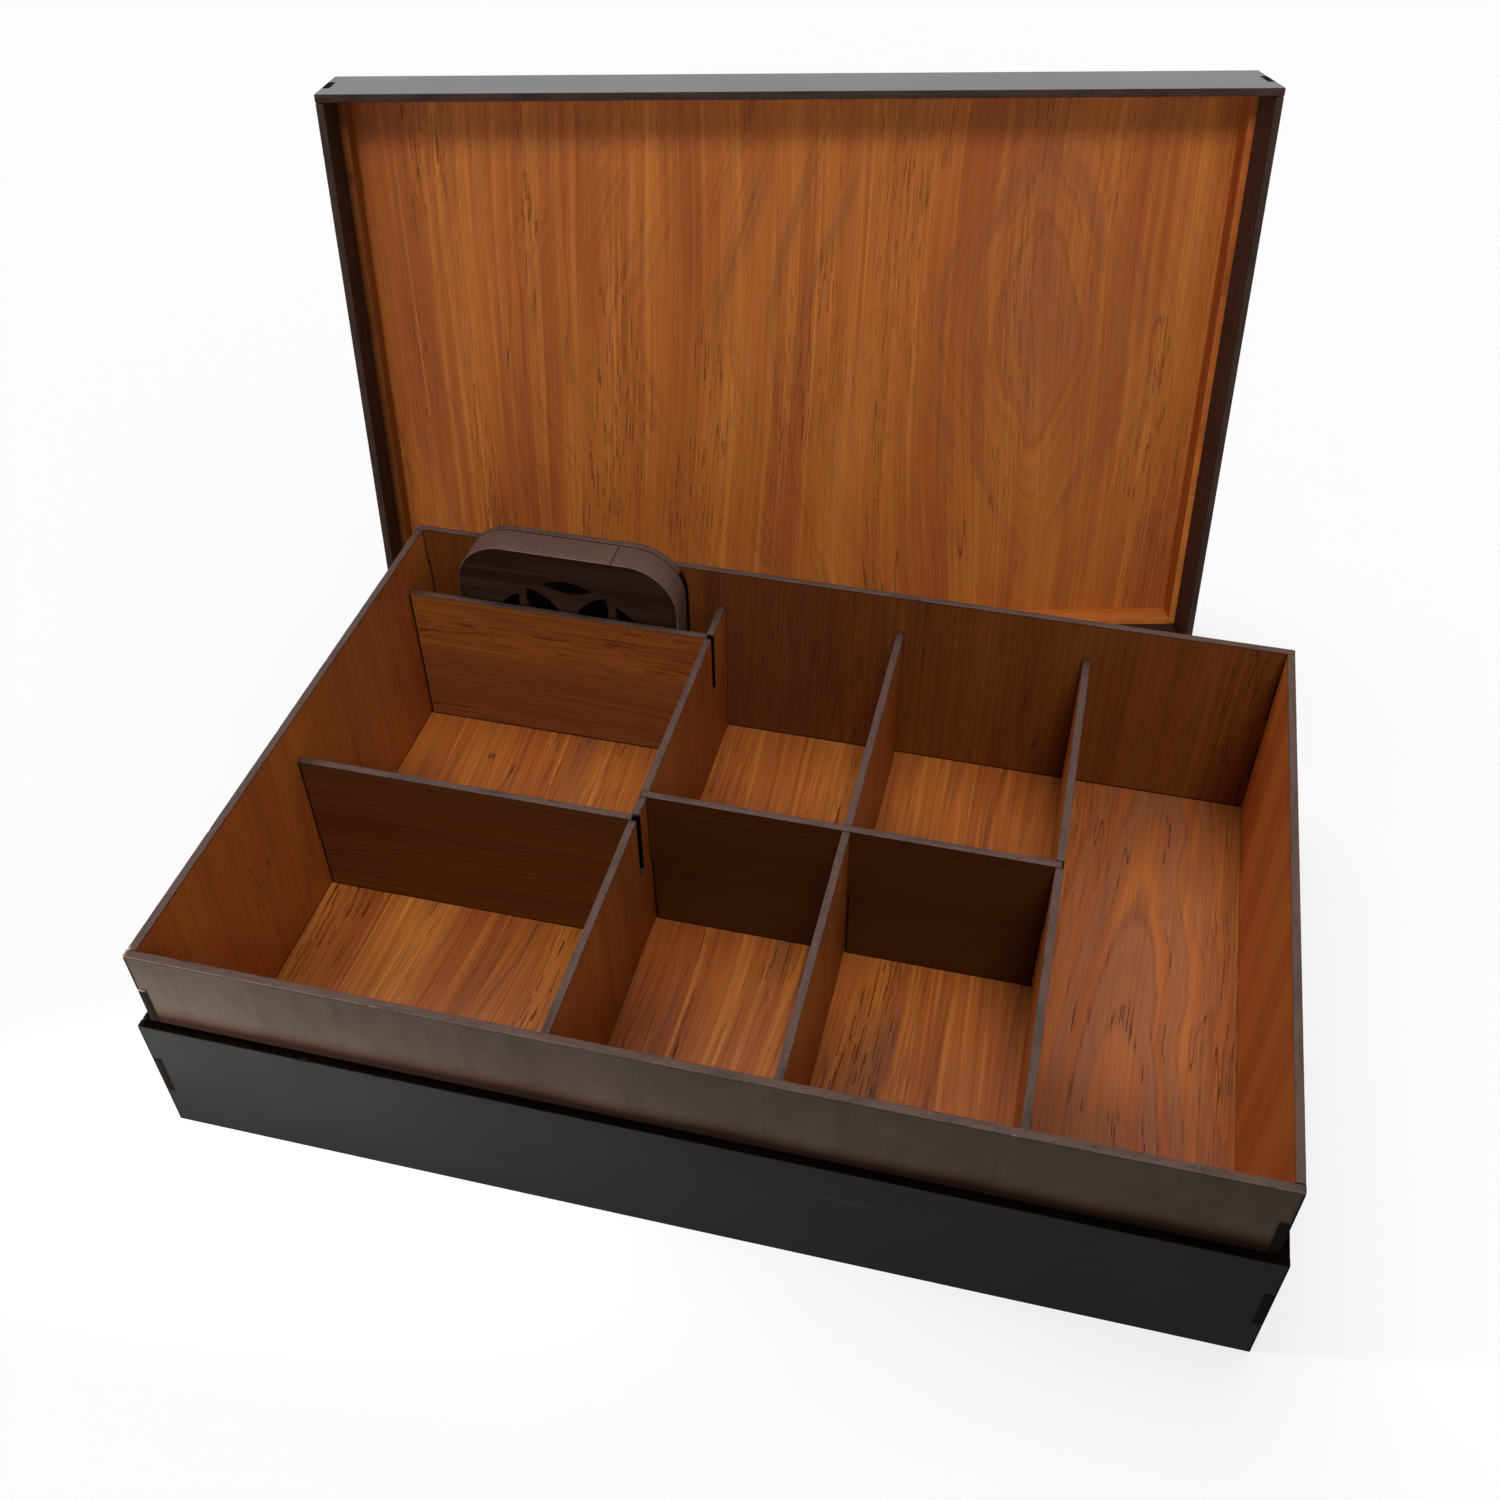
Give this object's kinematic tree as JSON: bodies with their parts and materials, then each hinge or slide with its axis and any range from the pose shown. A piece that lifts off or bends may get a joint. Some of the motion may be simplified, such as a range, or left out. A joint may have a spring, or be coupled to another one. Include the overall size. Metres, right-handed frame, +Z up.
{
  "type": "compartment box",
  "caption": "Shallow rectangular storage box with slot-together dividers, a stepped neck above dark outer walls, an upright insert tile and a deep lift-off lid that stands behind it.",
  "frame": {"origin": "middle of the box's flat underside, on the surface it stands on", "axes": "+Z up, +X along the box's length to the right, -Y towards the front; the lid stands at +Y"},
  "size_m": [0.4207, 0.4258, 0.2567],
  "materials": {
    "dark_shell": "satin charcoal stain on thin board",
    "brown_neck": "matt brown stain with fine grain, pale cut edges",
    "grain_board": "satin orange-brown wood grain, grey-brown cut edges",
    "lid_lining": "satin orange-brown wood grain, dark cut edges",
    "insert_stain": "satin dark brown stain"
  },
  "bodies": {
    "box": {"floor_panel": "grain_board", "outer_front": "dark_shell", "outer_back": "dark_shell", "outer_left": "dark_shell", "outer_right": "dark_shell", "neck_front": "brown_neck", "neck_back": "brown_neck", "neck_left": "brown_neck", "neck_right": "brown_neck"},
    "divider_grid": {"divider_left": "grain_board", "divider_middle": "grain_board", "divider_right": "grain_board", "cross_divider": "grain_board"},
    "partition_back": {"partition_back": "grain_board"},
    "partition_mid": {"partition_mid": "grain_board"},
    "lid": {"lid_top_panel": "dark_shell", "lid_lining_panel": "lid_lining", "lid_wall_front": "dark_shell", "lid_wall_back": "dark_shell", "lid_wall_left": "dark_shell", "lid_wall_right": "dark_shell", "lid_strip_front": "lid_lining", "lid_strip_back": "lid_lining", "lid_strip_left": "lid_lining", "lid_strip_right": "lid_lining"},
    "insert": {"insert_front_plate": "insert_stain", "insert_band": "insert_stain", "insert_core": "insert_stain", "insert_back_plate": "insert_stain"}
  },
  "joints": [
    {"name": "lid_lift", "type": "slide", "parent": "box", "child": "lid", "axis": [0, 0, 1], "range_m": [0, 0.15]},
    {"name": "divider_grid_lift", "type": "slide", "parent": "box", "child": "divider_grid", "axis": [0, 0, 1], "range_m": [0, 0.1]},
    {"name": "partition_back_lift", "type": "slide", "parent": "divider_grid", "child": "partition_back", "axis": [0, 0, 1], "range_m": [0, 0.1]},
    {"name": "partition_mid_lift", "type": "slide", "parent": "divider_grid", "child": "partition_mid", "axis": [0, 0, 1], "range_m": [0, 0.1]},
    {"name": "insert_lift", "type": "slide", "parent": "box", "child": "insert", "axis": [0, 0, 1], "range_m": [0, 0.11]}
  ]
}
